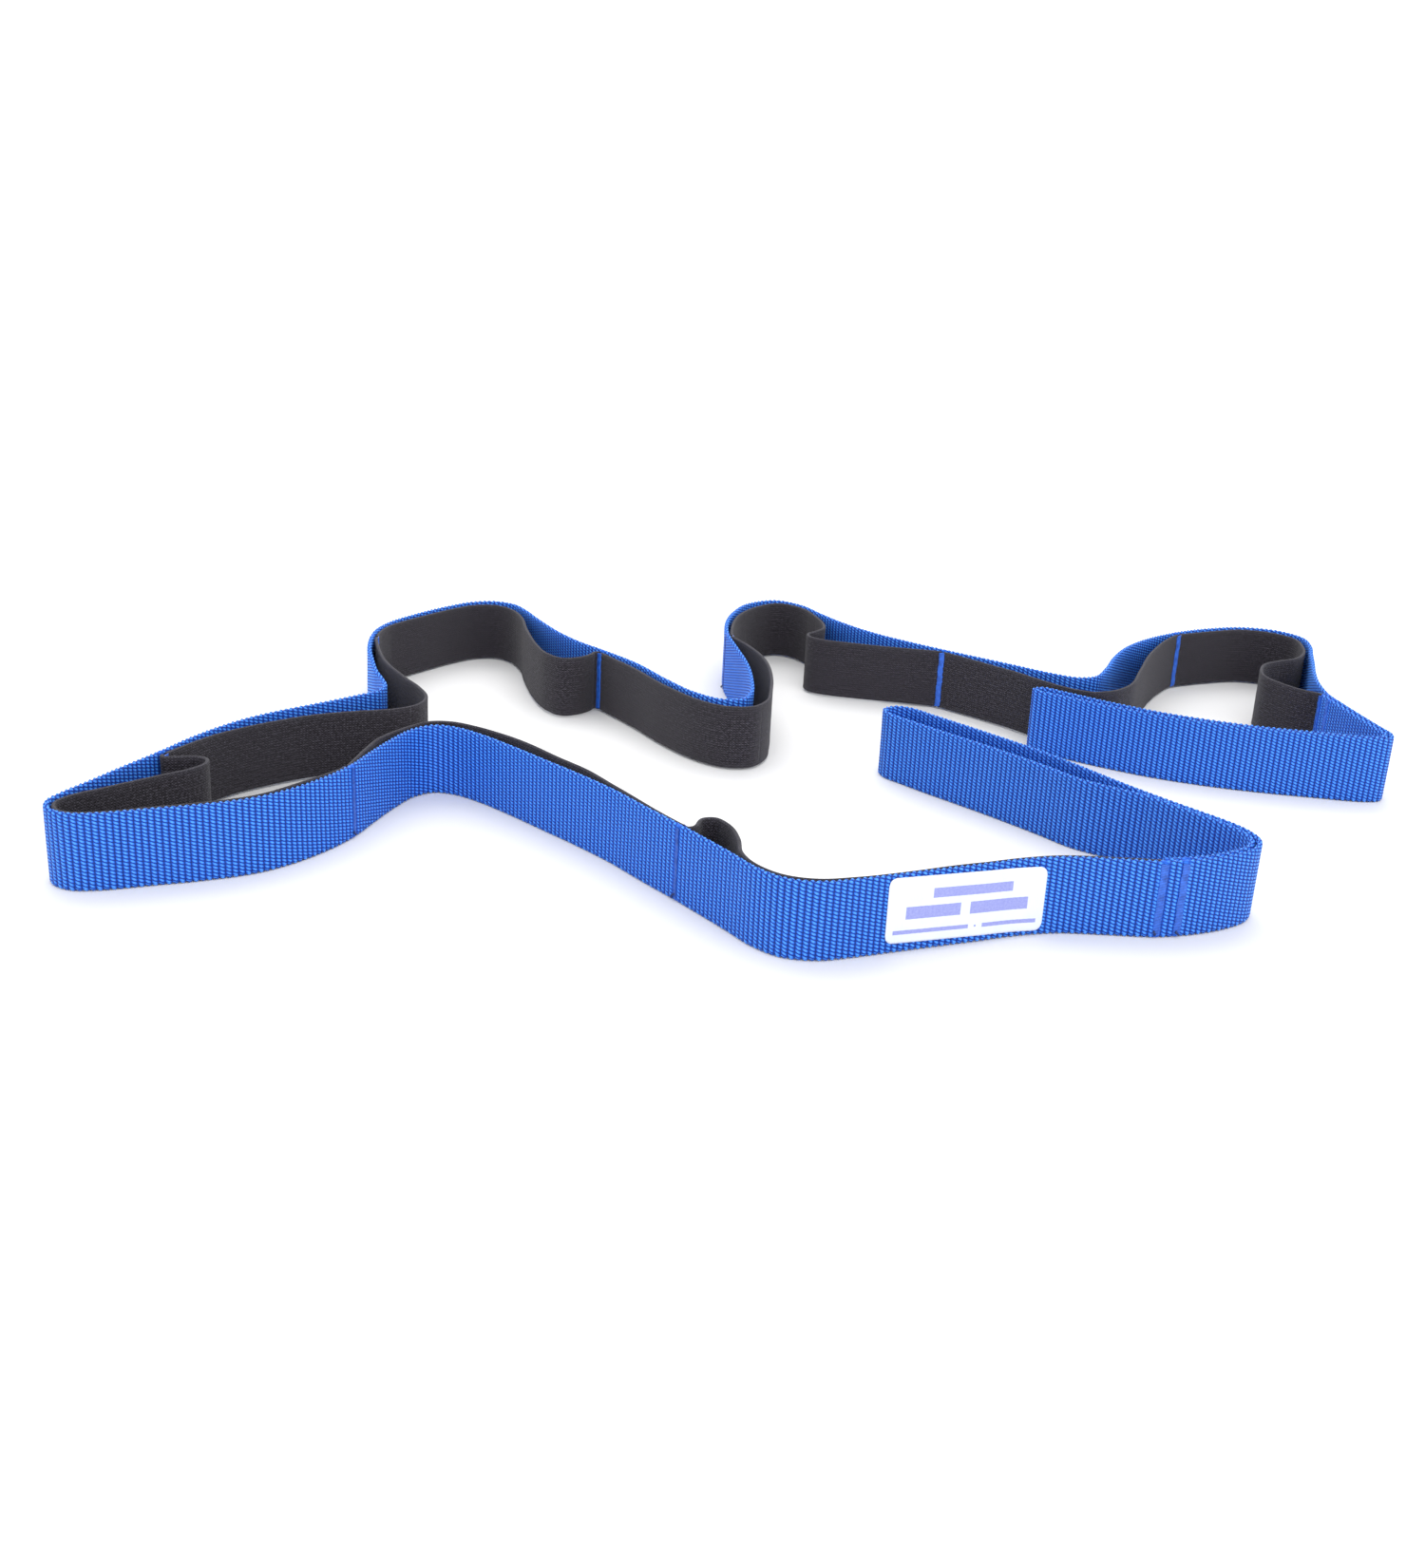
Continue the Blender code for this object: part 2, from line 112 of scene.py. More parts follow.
BAND_ROUTES = [
    [(0.080, -0.127), (0.054, -0.136), (0.018, -0.151), (0.006, -0.154), (-0.004, -0.152),
     (-0.0115, -0.1455), (-0.0155, -0.137), (-0.0165, -0.126), (-0.019, -0.117), (-0.0235, -0.1115),
     (-0.0275, -0.1125), (-0.0292, -0.1177), (-0.0301, -0.1193)],
    [(-0.044, -0.1045), (-0.055, -0.0895), (-0.065, -0.076), (-0.0755, -0.065), (-0.086, -0.054),
     (-0.0965, -0.045), (-0.107, -0.038), (-0.116, -0.0345), (-0.1235, -0.0355),
     (-0.1305, -0.0435), (-0.1365, -0.055), (-0.139, -0.067)],
    [(-0.1485, -0.095), (-0.164, -0.1135), (-0.191, -0.1270), (-0.207, -0.1338), (-0.2158, -0.1320),
     (-0.2186, -0.1262), (-0.2158, -0.1200), (-0.209, -0.1132), (-0.202, -0.106), (-0.195, -0.0995),
     (-0.189, -0.094), (-0.1855, -0.088), (-0.186, -0.083), (-0.190, -0.0812), (-0.195, -0.0822),
     (-0.1977, -0.083), (-0.1997, -0.0833)],
    [(-0.190, -0.0625), (-0.178, -0.0505), (-0.164, -0.0385), (-0.147, -0.029), (-0.137, -0.0235),
     (-0.1305, -0.017), (-0.129, -0.008), (-0.1335, 0.003), (-0.1405, 0.0135), (-0.1525, 0.0355)],
    [(-0.160, 0.080), (-0.148, 0.0995), (-0.138, 0.113), (-0.130, 0.1205), (-0.1215, 0.1225),
     (-0.114, 0.117), (-0.1085, 0.1055), (-0.1045, 0.0885), (-0.0985, 0.068), (-0.092, 0.054),
     (-0.0855, 0.0485), (-0.079, 0.0515), (-0.075, 0.0572), (-0.0744, 0.0594)],
    [(-0.057, 0.0395), (-0.044, 0.0195), (-0.032, 0.0055), (-0.0215, -0.001), (-0.012, 0.0),
     (-0.0065, 0.009), (-0.005, 0.0215), (-0.0045, 0.038), (-0.0055, 0.0535), (-0.0085, 0.068),
     (-0.014, 0.082)],
    [(-0.0195, 0.116), (-0.0165, 0.130), (-0.009, 0.1435), (-0.0005, 0.1505), (0.009, 0.1460),
     (0.015, 0.134), (0.0185, 0.122), (0.0185, 0.1135), (0.015, 0.1075), (0.0115, 0.103),
     (0.013, 0.098), (0.0185, 0.0945), (0.031, 0.0915), (0.048, 0.089)],
    [(0.089, 0.066), (0.101, 0.053), (0.110, 0.0445), (0.1185, 0.0405), (0.127, 0.0435),
     (0.1365, 0.054), (0.1445, 0.0745), (0.154, 0.100), (0.164, 0.120)],
    [(0.189, 0.141), (0.205, 0.1465), (0.217, 0.144), (0.2245, 0.1355), (0.2245, 0.124),
     (0.2215, 0.113), (0.2155, 0.104), (0.207, 0.099), (0.2, 0.0935), (0.196, 0.085),
     (0.195, 0.0755), (0.199, 0.0665), (0.2045, 0.059)],
]
HANDLE_A_OUT = [(0.117, -0.1265), (0.126, -0.1232), (0.1335, -0.119), (0.1395, -0.114),
                (0.1425, -0.107), (0.141, -0.1), (0.137, -0.0935), (0.129, -0.0845),
                (0.119, -0.0735), (0.109, -0.0615), (0.099, -0.0485), (0.088, -0.035),
                (0.071, -0.0175), (0.054, -0.001), (0.046, 0.0065)]
HANDLE_A_TIP = [(0.0405, 0.008), (0.0365, 0.0045), (0.0375, -0.001)]
HANDLE_A_BACK = [(0.043, -0.007), (0.051, -0.015), (0.060, -0.0235), (0.069, -0.032),
                 (0.078, -0.041), (0.087, -0.0505), (0.0965, -0.061)]
HANDLE_B_OUT = [(0.2145, 0.042), (0.217, 0.028), (0.220, 0.0135), (0.2215, 0.006),
                (0.2195, 0.001), (0.2135, -0.0005), (0.205, 0.0), (0.198, 0.001), (0.179, 0.0035),
                (0.159, 0.0075), (0.139, 0.014), (0.120, 0.0235), (0.106, 0.032)]
HANDLE_B_TIP = [(0.0985, 0.0365), (0.0965, 0.0395), (0.0995, 0.0415)]
HANDLE_B_BACK = [(0.1065, 0.0375), (0.120, 0.0285), (0.139, 0.018), (0.159, 0.0105)]
HANDLE_A_REJOIN, HANDLE_B_REJOIN = 0.086, 0.0965  # length of the part folded back on itself

# ---------------------------------------------------------------- smooth lines through them


def placed(points):
    """The points of a route, in the part's own frame."""
    return [np.array(p) - CENTRE for p in points]


def spline(points, before=None, after=None):
    """A centripetal Catmull-Rom curve through the points. before and after set its direction at
    its ends."""
    before = 2 * points[0] - points[1] if before is None else before
    after = 2 * points[-1] - points[-2] if after is None else after
    ends = [before, *points, after]
    fine = []
    for a, b, c, d in zip(ends, ends[1:], ends[2:], ends[3:]):
        t1 = math.sqrt(np.linalg.norm(b - a))
        t2 = t1 + math.sqrt(np.linalg.norm(c - b))
        t3 = t2 + math.sqrt(np.linalg.norm(d - c))
        count = max(4, int(np.linalg.norm(c - b) / 0.00025))
        t = (t1 + (t2 - t1) * np.arange(count) / count)[:, None]
        ab = a * ((t1 - t) / t1) + b * (t / t1)
        bc = b * ((t2 - t) / (t2 - t1)) + c * ((t - t1) / (t2 - t1))
        cd = c * ((t3 - t) / (t3 - t2)) + d * ((t - t2) / (t3 - t2))
        abc = ab * ((t2 - t) / t2) + bc * (t / t2)
        bcd = bc * ((t3 - t) / (t3 - t1)) + cd * ((t - t1) / (t3 - t1))
        fine.append(abc * ((t2 - t) / (t2 - t1)) + bcd * ((t - t1) / (t2 - t1)))
    return Line(np.vstack([*fine, points[-1][None]]))


class Line:
    """A smooth line seen from above. Its right side is the inner side of the strap."""

    def __init__(self, points):
        self.points = np.array(points)
        steps = np.linalg.norm(np.diff(self.points, axis=0), axis=1)
        self.at = np.concatenate([[0.0], np.cumsum(steps)])
        self.length = self.at[-1]

    def place(self, s):
        return np.stack([np.interp(s, self.at, self.points[:, i]) for i in (0, 1)], axis=-1)

    def along(self, s, reach=0.0006):
        s = np.asarray(s, float)
        step = self.place(np.minimum(s + reach, self.length)) - self.place(np.maximum(s - reach, 0))
        return step / np.linalg.norm(step, axis=-1, keepdims=True)

    def right(self, s):
        along = self.along(s)
        return np.stack([along[..., 1], -along[..., 0]], axis=-1)

    def beside(self, s, offset):
        return self.place(s) + offset * self.right(s)

    def nearest(self, point):
        return self.at[np.argmin(((self.points - point) ** 2).sum(axis=1))]

    def kept_off(self, points, least):
        """The points, with each that is closer than least to this line's right side moved out."""
        moved = []
        for point in points:
            s = self.nearest(point)
            off, right = point - self.place(s), self.right(s)
            short = least - off @ right
            near = np.linalg.norm(off) < 3 * least and short > 0
            moved.append(point + right * short if near else point)
        return moved


ROUTES = [placed(route) for route in POCKET_ROUTES]
WEB = spline([p for route in ROUTES for p in route] + placed([LAST_TACK]),
             placed(HANDLE_A_OUT)[0], placed(HANDLE_B_OUT)[0])
TACKS = [WEB.nearest(route[0]) for route in ROUTES] + [WEB.length]
BESIDE = WEB_THICK / 2 + GAP + BAND_THICK / 2


def band_line(i):
    """The line of one pocket's band: beside the webbing at both ends, and never closer to it."""
    start, end = TACKS[i], TACKS[i + 1]
    first = [WEB.beside(start + s, BESIDE) for s in (SEAM / 2, 0.0013)]
    last = [WEB.beside(end - s, BESIDE) for s in (0.0013, SEAM / 2)]
    line = spline([*first, *placed(BAND_ROUTES[i]), *last])
    return Line(WEB.kept_off(line.points, BESIDE))


BANDS = [band_line(i) for i in range(9)]


def handle_line(out, tip, back, rejoin, first, before, side):
    """The line of a handle's webbing: out, round the tip, and back inside to the stitches."""
    ahead = spline([first, *placed(out), *placed(tip)], before)
    s = np.linspace(SEAM / 2, rejoin, round(rejoin / 0.0005))
    inside = ahead.beside(s, (WEB_THICK + LOOP_GAP) * side)
    return spline([first, *placed(out), *placed(tip), *placed(back), *inside[:0:-3], inside[0]],
                  before)


HANDLE_A = handle_line(HANDLE_A_OUT, HANDLE_A_TIP, HANDLE_A_BACK, HANDLE_A_REJOIN, WEB.points[0],
                       ROUTES[0][1], -1)
HANDLE_B = handle_line(HANDLE_B_OUT, HANDLE_B_TIP, HANDLE_B_BACK, HANDLE_B_REJOIN, WEB.points[-1],
                       ROUTES[-1][-1], 1)
# One line from the end of handle A's webbing, along the pockets, to the end of handle B's.
WHOLE = Line(np.vstack([HANDLE_A.points[:0:-1], WEB.points, HANDLE_B.points[1:]]))
HINGES = [HANDLE_A.length + s for s in TACKS]  # the ten rows of stitches, along the whole line

# ---------------------------------------------------------------- nodes for the materials


class Nodes:
    """A short way to write a node material."""

    def __init__(self, name):
        self.material = bpy.data.materials.new(name)
        self.material.use_nodes = True
        self.tree = self.material.node_tree
        self.shader = self.tree.nodes["Principled BSDF"]

    def add(self, kind, **settings):
        node = self.tree.nodes.new(kind)
        for key, value in settings.items():
            setattr(node, key, value)
        return node

    def put(self, value, socket):
        if isinstance(value, bpy.types.NodeSocket):
            self.tree.links.new(value, socket)
        else:
            socket.default_value = value

    def math(self, operation, *values, clamp=False):
        node = self.add("ShaderNodeMath", operation=operation, use_clamp=clamp)
        for value, socket in zip(values, node.inputs):
            self.put(value, socket)
        return node.outputs[0]

    def mix(self, share, a, b):
        node = self.add("ShaderNodeMix", data_type="RGBA")
        self.put(share, node.inputs[0])
        self.put(a, node.inputs[6])
        self.put(b, node.inputs[7])
        return node.outputs[2]

    def ramp(self, value, *stops):
        node = self.add("ShaderNodeValToRGB")
        self.put(value, node.inputs[0])
        points = node.color_ramp.elements
        while len(points) < len(stops):
            points.new(0.5)
        for point, (at, colour) in zip(points, stops):
            point.position, point.color = at, (*colour, 1)
        return node.outputs[0]

    def noise(self, vector, scale, detail=2.0, roughness=0.5):
        node = self.add("ShaderNodeTexNoise")
        self.put(vector, node.inputs["Vector"])
        self.put(scale, node.inputs["Scale"])
        self.put(detail, node.inputs["Detail"])
        self.put(roughness, node.inputs["Roughness"])
        return node.outputs[0]

    def uv(self):
        parts = self.add("ShaderNodeSeparateXYZ")
        self.put(self.add("ShaderNodeUVMap", uv_map="weave").outputs[0], parts.inputs[0])
        return parts.outputs[0], parts.outputs[1]

    def vector(self, x, y, z=0.0):
        node = self.add("ShaderNodeCombineXYZ")
        for value, socket in zip((x, y, z), node.inputs):
            self.put(value, socket)
        return node.outputs[0]

    def place(self):
        return self.add("ShaderNodeNewGeometry").outputs["Position"]

    def bump(self, height, distance, strength=1.0):
        node = self.add("ShaderNodeBump")
        node.inputs["Strength"].default_value = strength
        node.inputs["Distance"].default_value = distance
        self.put(height, node.inputs["Height"])
        self.put(node.outputs[0], self.shader.inputs["Normal"])

    def finish(self, colour, roughness, **fixed):
        self.put(colour, self.shader.inputs["Base Color"])
        self.put(roughness, self.shader.inputs["Roughness"])
        for key, value in fixed.items():
            self.shader.inputs[key.replace("_", " ")].default_value = value
        return self.material


def webbing_material():
    """Ribs of slanting yarn floats, each rib half a float on from the one before, with painted
    shade in the valleys between and painted highlight on the ridges. U counts ribs and V counts
    floats."""
    n = Nodes("webbing_blue")
    u, v = n.uv()
    calm = n.add("ShaderNodeAttribute", attribute_name="calm").outputs["Fac"]
    wander = n.noise(n.vector(n.math("MULTIPLY", u, 0.9), n.math("MULTIPLY", v, 0.25)), 1.0, 2.0)
    across = n.math("SUBTRACT", n.math("FRACT", u), 0.5)
    odd = n.math("MODULO", n.math("FLOOR", n.math("ADD", u, 2000.0)), 2.0)
    phase = n.math("SUBTRACT", v, n.math("MULTIPLY", across, 0.72))
    phase = n.math("ADD", phase, n.math("MULTIPLY", odd, 0.5))
    phase = n.math("ADD", phase, n.math("MULTIPLY", wander, 0.30))
    grain = n.math("ABSOLUTE", n.math("SINE", n.math("MULTIPLY", phase, math.pi)))
    grain = n.math("POWER", grain, 0.9)
    ridge = n.math("COSINE", n.math("MULTIPLY", across, math.pi))
    ridge = n.math("POWER", n.math("MAXIMUM", ridge, 0.0), 0.8)
    height = n.math("MULTIPLY", ridge, n.math("ADD", 0.02, n.math("MULTIPLY", grain, 0.98)))
    height = n.math("ADD", n.math("MULTIPLY", height, calm),
                    n.math("MULTIPLY", n.math("SUBTRACT", 1.0, calm), 0.55))
    yarn = n.noise(n.vector(n.math("MULTIPLY", u, 9.0), n.math("MULTIPLY", phase, 5.0)), 1.0, 2.0)
    height = n.math("ADD", height, n.math("MULTIPLY", n.math("SUBTRACT", yarn, 0.5), 0.16))
    # The colour follows the height: painted shade in the valleys between ribs, painted highlight on
    # the ridges' floats.
    colour = n.ramp(height, (0.05, (0.0010, 0.014, 0.130)), (0.28, (0.0035, 0.050, 0.370)),
                    (0.58, (0.0140, 0.140, 0.700)), (0.90, (0.0850, 0.360, 1.000)))
    drift = n.noise(n.place(), 28.0, 3.0)
    colour = n.mix(n.math("MULTIPLY", drift, 0.16), colour, (0.020, 0.085, 0.55, 1))
    n.bump(height, 0.00028, 0.9)
    rough = n.math("SUBTRACT", 0.66, n.math("MULTIPLY", height, 0.18))
    return n.finish(colour, rough, Specular_IOR_Level=0.28, Sheen_Weight=0.05, Sheen_Roughness=0.4)


def elastic_material():
    """Fine charcoal knit: rows of small loops, a few paler yarns, and a paler rim."""
    n = Nodes("elastic_charcoal")
    u, v = n.uv()
    loops = n.math("SINE", n.math("MULTIPLY", u, 2 * math.pi / 1.05))
    courses = n.math("SINE", n.math("MULTIPLY", v, 2 * math.pi / 0.90))
    knit = n.math("ADD", n.math("MULTIPLY", n.math("MULTIPLY", loops, courses), 0.28),
                  n.math("MULTIPLY", courses, 0.14))
    fuzz = n.noise(n.vector(n.math("MULTIPLY", u, 1.1), n.math("MULTIPLY", v, 1.15)), 1.0, 3.0,
                   0.75)
    height = n.math("ADD", n.math("ADD", knit, 0.5), n.math("MULTIPLY",
                    n.math("SUBTRACT", fuzz, 0.5), 2.0))
    colour = n.ramp(height, (0.05, (0.0030, 0.0027, 0.0038)), (0.50, (0.0215, 0.0193, 0.0255)),
                    (1.00, (0.094, 0.087, 0.108)))
    rim = n.add("ShaderNodeAttribute", attribute_name="rim").outputs["Fac"]
    colour = n.mix(n.math("MULTIPLY", rim, 0.35), colour, (0.070, 0.068, 0.082, 1))
    drift = n.noise(n.place(), 34.0, 2.0)
    colour = n.mix(n.math("MULTIPLY", drift, 0.25), colour, (0.025, 0.020, 0.024, 1))
    n.bump(height, 0.00020, 0.9)
    return n.finish(colour, 0.88, Specular_IOR_Level=0.18, Sheen_Weight=0.10, Sheen_Roughness=0.5)


def thread_material():
    """Glossy stitching thread: V counts the passes of the thread."""
    n = Nodes("thread_blue")
    u, v = n.uv()
    turn = n.math("ABSOLUTE", n.math("SINE", n.math("MULTIPLY", v, math.pi)))
    twist = n.noise(n.vector(n.math("MULTIPLY", u, 7.0), n.math("MULTIPLY", v, 2.0)), 1.0, 2.0)
    pull = n.noise(n.vector(n.math("MULTIPLY", u, 0.5), n.math("MULTIPLY", v, 0.22)), 1.0, 2.0)
    height = n.math("ADD", n.math("MULTIPLY", turn, 0.6), n.math("MULTIPLY", twist, 0.3))
    height = n.math("ADD", height, n.math("MULTIPLY", n.math("SUBTRACT", pull, 0.5), 1.1))
    colour = n.ramp(height, (0.05, (0.003, 0.026, 0.190)), (0.45, (0.012, 0.100, 0.540)),
                    (0.95, (0.045, 0.200, 0.880)))
    tail = n.add("ShaderNodeAttribute", attribute_name="tail").outputs["Fac"]
    colour = n.mix(tail, colour, (0.002, 0.012, 0.090, 1))
    n.bump(height, 0.00010, 0.6)
    return n.finish(colour, 0.38, Specular_IOR_Level=0.5, Sheen_Weight=0.1, Sheen_Roughness=0.3)


def label_material():
    """A smooth white printed label. The print is plain bars in violet-blue ink: U and V are
    millimetres from its lower left corner."""
    n = Nodes("label_white")
    u, v = n.uv()

    def bar(left, right, low, high):
        x = n.math("SUBTRACT", n.math("ABSOLUTE", n.math("SUBTRACT", u, (left + right) / 2)),
                   (right - left) / 2)
        y = n.math("SUBTRACT", n.math("ABSOLUTE", n.math("SUBTRACT", v, (low + high) / 2)),
                   (high - low) / 2)
        return n.math("MULTIPLY", n.math("MAXIMUM", x, y), -9.0, clamp=True)

    bars = [(14.5, 41.0, 13.4, 16.6), (6.0, 24.0, 7.3, 11.3), (27.0, 46.5, 7.3, 11.3),
            (2.2, 27.0, 2.7, 4.1), (28.8, 29.6, 3.0, 3.8), (31.5, 49.8, 2.7, 4.1)]
    ink = bar(*bars[0])
    for more in bars[1:]:
        ink = n.math("MAXIMUM", ink, bar(*more))
    fade = n.noise(n.vector(u, v), 1.4, 3.0)
    ink = n.math("MULTIPLY", ink, n.math("ADD", 0.62, n.math("MULTIPLY", fade, 0.3)))
    weave = n.math("MULTIPLY", n.math("SINE", n.math("MULTIPLY", u, 2 * math.pi / 0.42)),
                   n.math("SINE", n.math("MULTIPLY", v, 2 * math.pi / 0.42)))
    tone = n.noise(n.vector(u, v), 0.12, 2.0)
    paper = n.ramp(tone, (0.2, (0.66, 0.71, 0.87)), (0.8, (0.76, 0.80, 0.90)))
    colour = n.mix(ink, paper, (0.16, 0.18, 0.58, 1))
    n.bump(n.math("ADD", n.math("MULTIPLY", weave, 0.25), n.math("MULTIPLY", fade, 0.5)),
           0.00006, 0.5)
    return n.finish(colour, 0.42, Specular_IOR_Level=0.45)


WEBBING, ELASTIC, THREAD, LABEL = (webbing_material(), elastic_material(), thread_material(),
                                   label_material())

# ---------------------------------------------------------------- strips of cloth


def strip(name, rings, uv, material, attributes=()):
    """A closed strip with flat ends. rings is stations x points x 3, uv is stations x (points + 1)
    x 2, and attributes are pairs of a name and stations x points values."""
    stations, points = rings.shape[:2]
    mesh = bpy.data.meshes.new(name)
    i = np.arange(stations - 1)[:, None] * points
    j = np.arange(points)[None, :]
    k = (j + 1) % points
    quads = np.stack([i + j, i + points + j, i + points + k, i + k], axis=-1).reshape(-1, 4)
    last = (stations - 1) * points
    caps = [tuple(range(points)), tuple(range(last + points - 1, last - 1, -1))]
    mesh.from_pydata(rings.reshape(-1, 3).tolist(), [], quads.tolist() + caps)
    layer = mesh.uv_layers.new(name="weave")
    corner = np.stack([uv[:-1, :-1], uv[1:, :-1], uv[1:, 1:], uv[:-1, 1:]], axis=2).reshape(-1, 2)
    ends = np.concatenate([uv[0, :-1], uv[-1, -2::-1]])
    layer.data.foreach_set("uv", np.concatenate([corner, ends]).astype(np.float32).ravel())
    for key, values in attributes:
        mesh.attributes.new(key, "FLOAT", "POINT").data.foreach_set(
            "value", values.astype(np.float32).ravel())
    mesh.materials.append(material)
    mesh.shade_smooth()
    mesh.validate()
    for cap in mesh.polygons[-2:]:
        cap.use_smooth = False
    obj = bpy.data.objects.new(name, mesh)
    bpy.context.scene.collection.objects.link(obj)
    return obj


def cross_section(width, thick, low, rows, turns):
    """Points round a flat strip with round edges, from the foot of its left face up, over and down:
    (offset to the right, height), the outward direction there, and the distance round."""
    h = thick / 2
    up = np.linspace(low + h, low + width - h, rows)
    angle = np.linspace(0, math.pi, turns + 2)[1:-1]
    left = np.stack([np.full(rows, -h), up], axis=1)
    top = np.stack([-h * np.cos(angle), low + width - h + h * np.sin(angle)], axis=1)
    foot = np.stack([h * np.cos(angle), low + h - h * np.sin(angle)], axis=1)
    right = np.stack([np.full(rows, h), up[::-1]], axis=1)
    points = np.vstack([left, top, right, foot])
    outward = np.vstack([np.tile([-1.0, 0.0], (rows, 1)),
                         np.stack([-np.cos(angle), np.sin(angle)], axis=1),
                         np.tile([1.0, 0.0], (rows, 1)),
                         np.stack([np.cos(angle), -np.sin(angle)], axis=1)])
    loop = np.vstack([points, points[:1]])
    round_ = np.concatenate([[0.0], np.cumsum(np.linalg.norm(np.diff(loop, axis=0), axis=1))])
    return points, outward, round_


def near(s, places, reach):
    """1 at the places, falling to 0 within a few reaches of them."""
    return sum(np.exp(-((s - p) / reach) ** 2) for p in places).clip(0, 1)


ROWS_OF_STITCHES = sorted(HINGES + [HINGES[0] - SECOND_ROW, HINGES[-1] + SECOND_ROW,
                                    0.0, SECOND_ROW, WHOLE.length, WHOLE.length - SECOND_ROW])


def webbing(name, start, end):
    """The webbing from one distance along the whole line to another."""
    stations = round((end - start) / (RIB / 8)) + 1
    s = np.linspace(start, end, stations)
    points, outward, distance = cross_section(WEB_WIDTH - 2 * SKIN, WEB_THICK - 2 * SKIN, SKIN,
                                              9, 5)
    side = (np.append(outward[:, 0], outward[0, 0]) + 1) / 2  # 0 on the outer face, 1 inside
    side[-1] = 0.0
    ribs = s[:, None] / RIB + 0.5 * side[None, :]  # the inner face's ribs lie between the outer's
    edge = np.abs(outward[:, 1])  # 0 on the faces, 1 on the strip's upper and lower edge
    calm = 1 - 0.8 * near(s, ROWS_OF_STITCHES, PRESSED)
    wave = np.cos(math.pi * (ribs[:, :-1] % 1 - 0.5)) ** 2
    face = RIB_RISE * (wave - 0.62) * calm[:, None]
    rim = RIB_RISE_AT_EDGE * (wave - 0.86) * calm[:, None]
    out = face * (1 - edge) + rim * edge - 0.00012 * (1 - calm[:, None]) * (1 - edge)
    off = points[None, :, 0] + outward[None, :, 0] * out
    high = points[None, :, 1] + outward[None, :, 1] * out
    ripple = 0.00012 * np.sin(s[:, None] * 41.0 + high * 90.0)
    place, right = WHOLE.place(s), WHOLE.right(s)
    rings = np.empty((stations, len(points), 3))
    rings[..., :2] = place[:, None] + right[:, None] * (off + ripple)[..., None]
    rings[..., 2] = high
    uv = np.stack([ribs, np.broadcast_to(distance / FLOAT, ribs.shape)], axis=-1)
    calm = np.broadcast_to(calm[:, None], rings.shape[:2])
    obj = strip(name, rings, uv, WEBBING, [("calm", calm)])
    return obj


def smooth(x):
    """0 below 0, 1 above 1, and a smooth step between."""
    x = np.clip(x, 0, 1)
    return x * x * (3 - 2 * x)


def elastic(name, line, start, end, base, lean=0.0):
    """The band along one pocket's line, from start to end. base sets where its weave starts. Its
    foot leans towards the webbing by lean, from 38 to 55 mm along the line and less beside that,
    and its head by half as much."""
    stations = round((end - start) / 0.0006) + 1
    s = np.linspace(start, end, stations)
    lean = lean * smooth((s - 0.004) / 0.034) * smooth((0.095 - s) / 0.04)
    low = (WEB_WIDTH - BAND_WIDTH) / 2
    points, outward, distance = cross_section(BAND_WIDTH, BAND_THICK - SKIN, low, 15, 5)
    edge = np.minimum(points[:, 1] - low, low + BAND_WIDTH - points[:, 1])
    rim = np.exp(-(edge / 0.0007) ** 2)
    swell = 0.00006 * np.exp(-((edge - 0.0006) / 0.0004) ** 2)
    sway = 0.00010 * np.sin((base + s)[:, None] * 150.0) * np.sin((base + s)[:, None] * 47.0 + 1.0)
    off = points[None, :, 0] + outward[None, :, 0] * swell[None]
    high = points[None, :, 1] + sway * (points[None, :, 1] / WEB_WIDTH)
    place, right = line.place(s), line.right(s)
    rings = np.empty((stations, len(points), 3))
    off = off - lean[:, None] * (1 - 0.5 * high / WEB_WIDTH)
    rings[..., :2] = place[:, None] + right[:, None] * off[..., None]
    rings[..., 2] = high
    uv = np.stack(np.broadcast_arrays(((base + s) * 1000)[:, None], (distance * 1000)[None, :]),
                  axis=-1)
    rim = np.broadcast_to(rim[None], rings.shape[:2])
    obj = strip(name, rings, uv, ELASTIC, [("rim", rim)])
    return obj


def parts_of(*objects):
    """One object from several, so that a row of stitches is one piece."""
    first = objects[0]
    with bpy.context.temp_override(active_object=first, object=first,
                                   selected_editable_objects=list(objects),
                                   selected_objects=list(objects)):
        bpy.ops.object.join()
    return first


def stitches(name, s, offset, thick, low, high, width, seed, dark=0.0):
    """A row of satin stitching on one face: the thread laid across the row and packed upwards.
    offset is the middle of its thickness, to the right of the line, and dark shades it."""
    chance = np.random.default_rng(seed)
    passes = round((high - low) / PASS)
    rows, columns = passes * 6 + 1, 9
    up = np.linspace(0, passes, rows)
    jitter = chance.normal(0, 1, (passes + 1, 2))
    which = np.minimum(up.astype(int), passes)
    x = np.linspace(-1, 1, columns)
    half = width / 2 * (1 + 0.07 * jitter[which])
    along = np.where(x[None, :] < 0, half[:, :1], half[:, 1:]) * x[None, :]
    along = along + 0.00010 * np.sin(up * 0.37 + seed)[:, None]
    bulge = np.abs(np.sin(math.pi * up))[:, None] ** 0.6 * (1 - 0.75 * x[None, :] ** 4)
    rise = thick / 2 * (0.35 + 0.65 * bulge)
    sign = 1 if offset > 0 else -1
    z = (low + (high - low) * up / passes)[:, None] + 0.00018 * x[None, :]
    front = offset + sign * (rise - thick * 0.05)
    back = np.full_like(front, offset - sign * thick / 2)
    place, right, on = WHOLE.place(s), WHOLE.right(s), WHOLE.along(s)

    def world(along, out):
        flat = place + on * along[..., None] + right * out[..., None]
        return np.concatenate([flat, z[..., None]], axis=-1)

    rings = np.concatenate([world(along, front), world(along, back)[:, ::-1]], axis=1)
    if sign < 0:
        rings = rings[:, ::-1]
    u = np.concatenate([x, x[::-1], x[:1]]) * width * 500
    uv = np.stack(np.broadcast_arrays(u[None, :], up[:, None]), axis=-1)
    return strip(name, rings, uv, THREAD, [("tail", np.full(rings.shape[:2], dark))])


